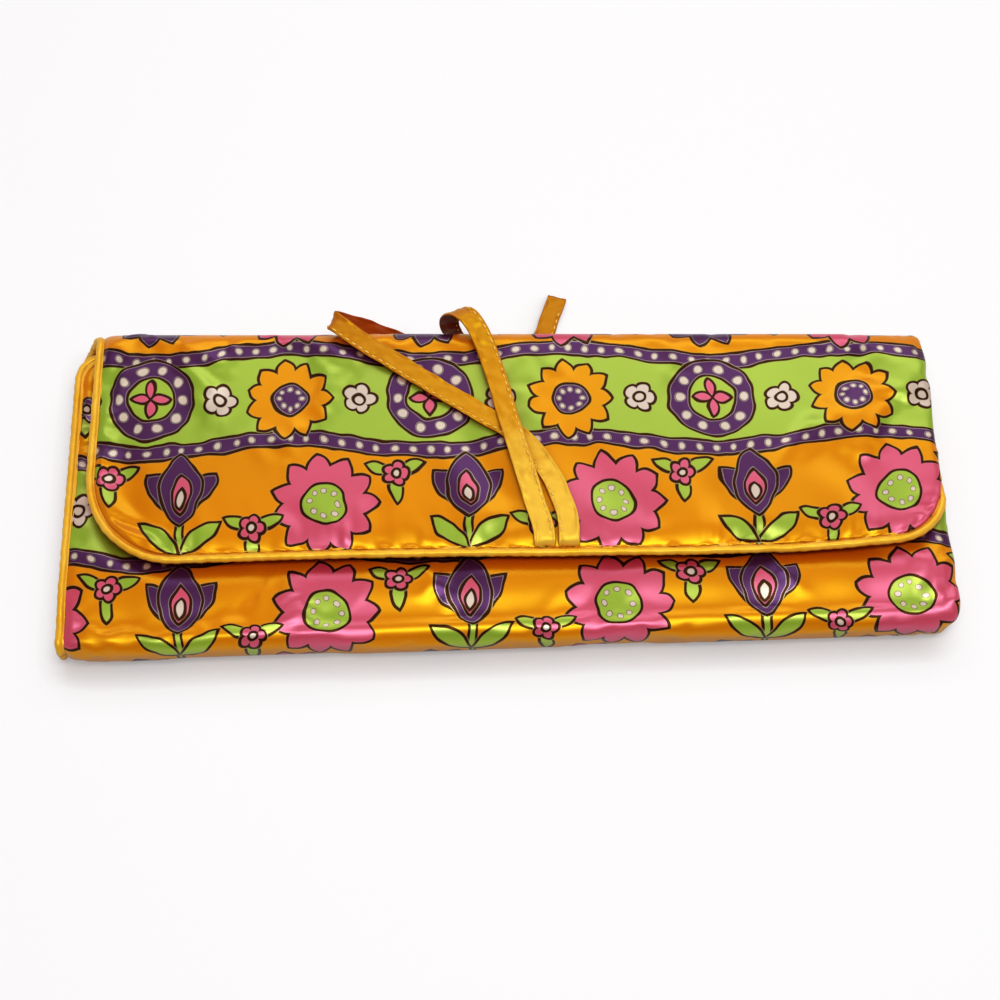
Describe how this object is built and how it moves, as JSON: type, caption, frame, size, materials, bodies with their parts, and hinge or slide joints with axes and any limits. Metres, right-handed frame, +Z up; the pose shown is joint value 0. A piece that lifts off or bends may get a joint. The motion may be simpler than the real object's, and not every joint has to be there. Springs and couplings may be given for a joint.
{
  "type": "jewelry roll",
  "caption": "Padded satin jewelry roll, folded shut: base, front panel and round-cornered flap with corded edges, flat ties, zipped pockets and a ring roll inside.",
  "frame": {"origin": "on the flat underside of the base panel, at the middle of its length and depth", "axes": "+X along the roll, +Y from the front opening edge to the far fold, +Z up through the closed layers"},
  "size_m": [0.254, 0.12, 0.0241],
  "materials": {
    "printed_satin": "printed polyester satin, glossy, quilted over wadding",
    "satin_piping": "satin-covered cord, golden amber",
    "satin_tie": "folded satin tape, edge stitched",
    "lining_satin": "plain satin lining",
    "wadding": "polyester wadding",
    "zip_tape": "woven zip tape",
    "zip_teeth": "nylon coil",
    "zip_metal": "plated, polished",
    "snap_metal": "nickel plated"
  },
  "bodies": {
    "base": {"base_cover": "printed_satin", "base_padding": "wadding", "base_lining": "lining_satin", "near_fold_cover": "printed_satin", "near_fold_padding": "wadding", "near_fold_lining": "lining_satin", "base_piping_left": "satin_piping", "base_piping_right": "satin_piping", "near_fold_piping_left": "satin_piping", "near_fold_piping_right": "satin_piping", "base_pocket": "lining_satin", "base_zip_tape_near": "zip_tape", "base_zip_tape_far": "zip_tape", "base_zip_teeth": "zip_teeth", "base_zip_stop_left": "zip_metal", "base_zip_stop_right": "zip_metal", "ring_roll_sewn_tab": "lining_satin", "ring_roll_snap_stud": "snap_metal"},
    "far_fold": {"far_fold_cover": "printed_satin", "far_fold_padding": "wadding", "far_fold_lining": "lining_satin", "far_fold_piping_left": "satin_piping", "far_fold_piping_right": "satin_piping"},
    "flap": {"flap_cover": "printed_satin", "flap_padding": "wadding", "flap_lining": "lining_satin", "flap_piping": "satin_piping", "flap_slip_pocket": "lining_satin"},
    "front_panel": {"front_cover": "printed_satin", "front_padding": "wadding", "front_lining": "lining_satin", "front_piping": "satin_piping", "front_pocket": "lining_satin", "front_zip_tape_near": "zip_tape", "front_zip_tape_far": "zip_tape", "front_zip_teeth": "zip_teeth", "front_zip_stop_left": "zip_metal", "front_zip_stop_right": "zip_metal"},
    "base_slider": {"base_zip_slider": "zip_metal", "base_zip_pull": "zip_metal"},
    "front_slider": {"front_zip_slider": "zip_metal", "front_zip_pull": "zip_metal"},
    "ring_roll": {"ring_roll": "lining_satin", "ring_roll_end_tab": "lining_satin", "ring_roll_snap_socket": "snap_metal"},
    "tie_left": {"tie_left": "satin_tie"},
    "tie_right": {"tie_right": "satin_tie"}
  },
  "joints": [
    {"name": "far_fold_turn", "type": "hinge", "parent": "base", "child": "far_fold", "pos_m": [0, 0.04694, 0.00176], "axis": [-0.9993, 0.038, 0], "range_deg": [0, 90]},
    {"name": "flap_open", "type": "hinge", "parent": "far_fold", "child": "flap", "pos_m": [0, 0.04694, 0.01724], "axis": [-0.9993, 0.038, 0], "range_deg": [0, 90]},
    {"name": "front_panel_open", "type": "hinge", "parent": "base", "child": "front_panel", "pos_m": [0, -0.04694, 0.01254], "axis": [1, 0, 0], "range_deg": [0, 18]},
    {"name": "tie_left_hang", "type": "hinge", "parent": "flap", "child": "tie_left", "pos_m": [0, -0.02495, 0.01705], "axis": [1, 0, 0], "range_deg": [0, 194]},
    {"name": "tie_right_hang", "type": "hinge", "parent": "flap", "child": "tie_right", "pos_m": [0, -0.02495, 0.01705], "axis": [1, 0, 0], "range_deg": [0, 194]},
    {"name": "base_zip_slide", "type": "slide", "parent": "base", "child": "base_slider", "axis": [1, 0, 0], "range_m": [0, 0.194]},
    {"name": "front_zip_slide", "type": "slide", "parent": "front_panel", "child": "front_slider", "axis": [1, 0, 0], "range_m": [0, 0.194]},
    {"name": "ring_roll_swing", "type": "hinge", "parent": "base", "child": "ring_roll", "pos_m": [-0.086, 0.004, 0.0066], "axis": [0, 0, -1], "range_deg": [0, 8]}
  ],
  "couplings": [
    {"joint": "far_fold_turn", "follows": "flap_open", "ratio": 1},
    {"joint": "front_panel_open", "follows": "flap_open", "ratio": 0.2},
    {"joint": "tie_left_hang", "follows": "flap_open", "ratio": 2.1555},
    {"joint": "tie_right_hang", "follows": "flap_open", "ratio": 2.1555}
  ]
}
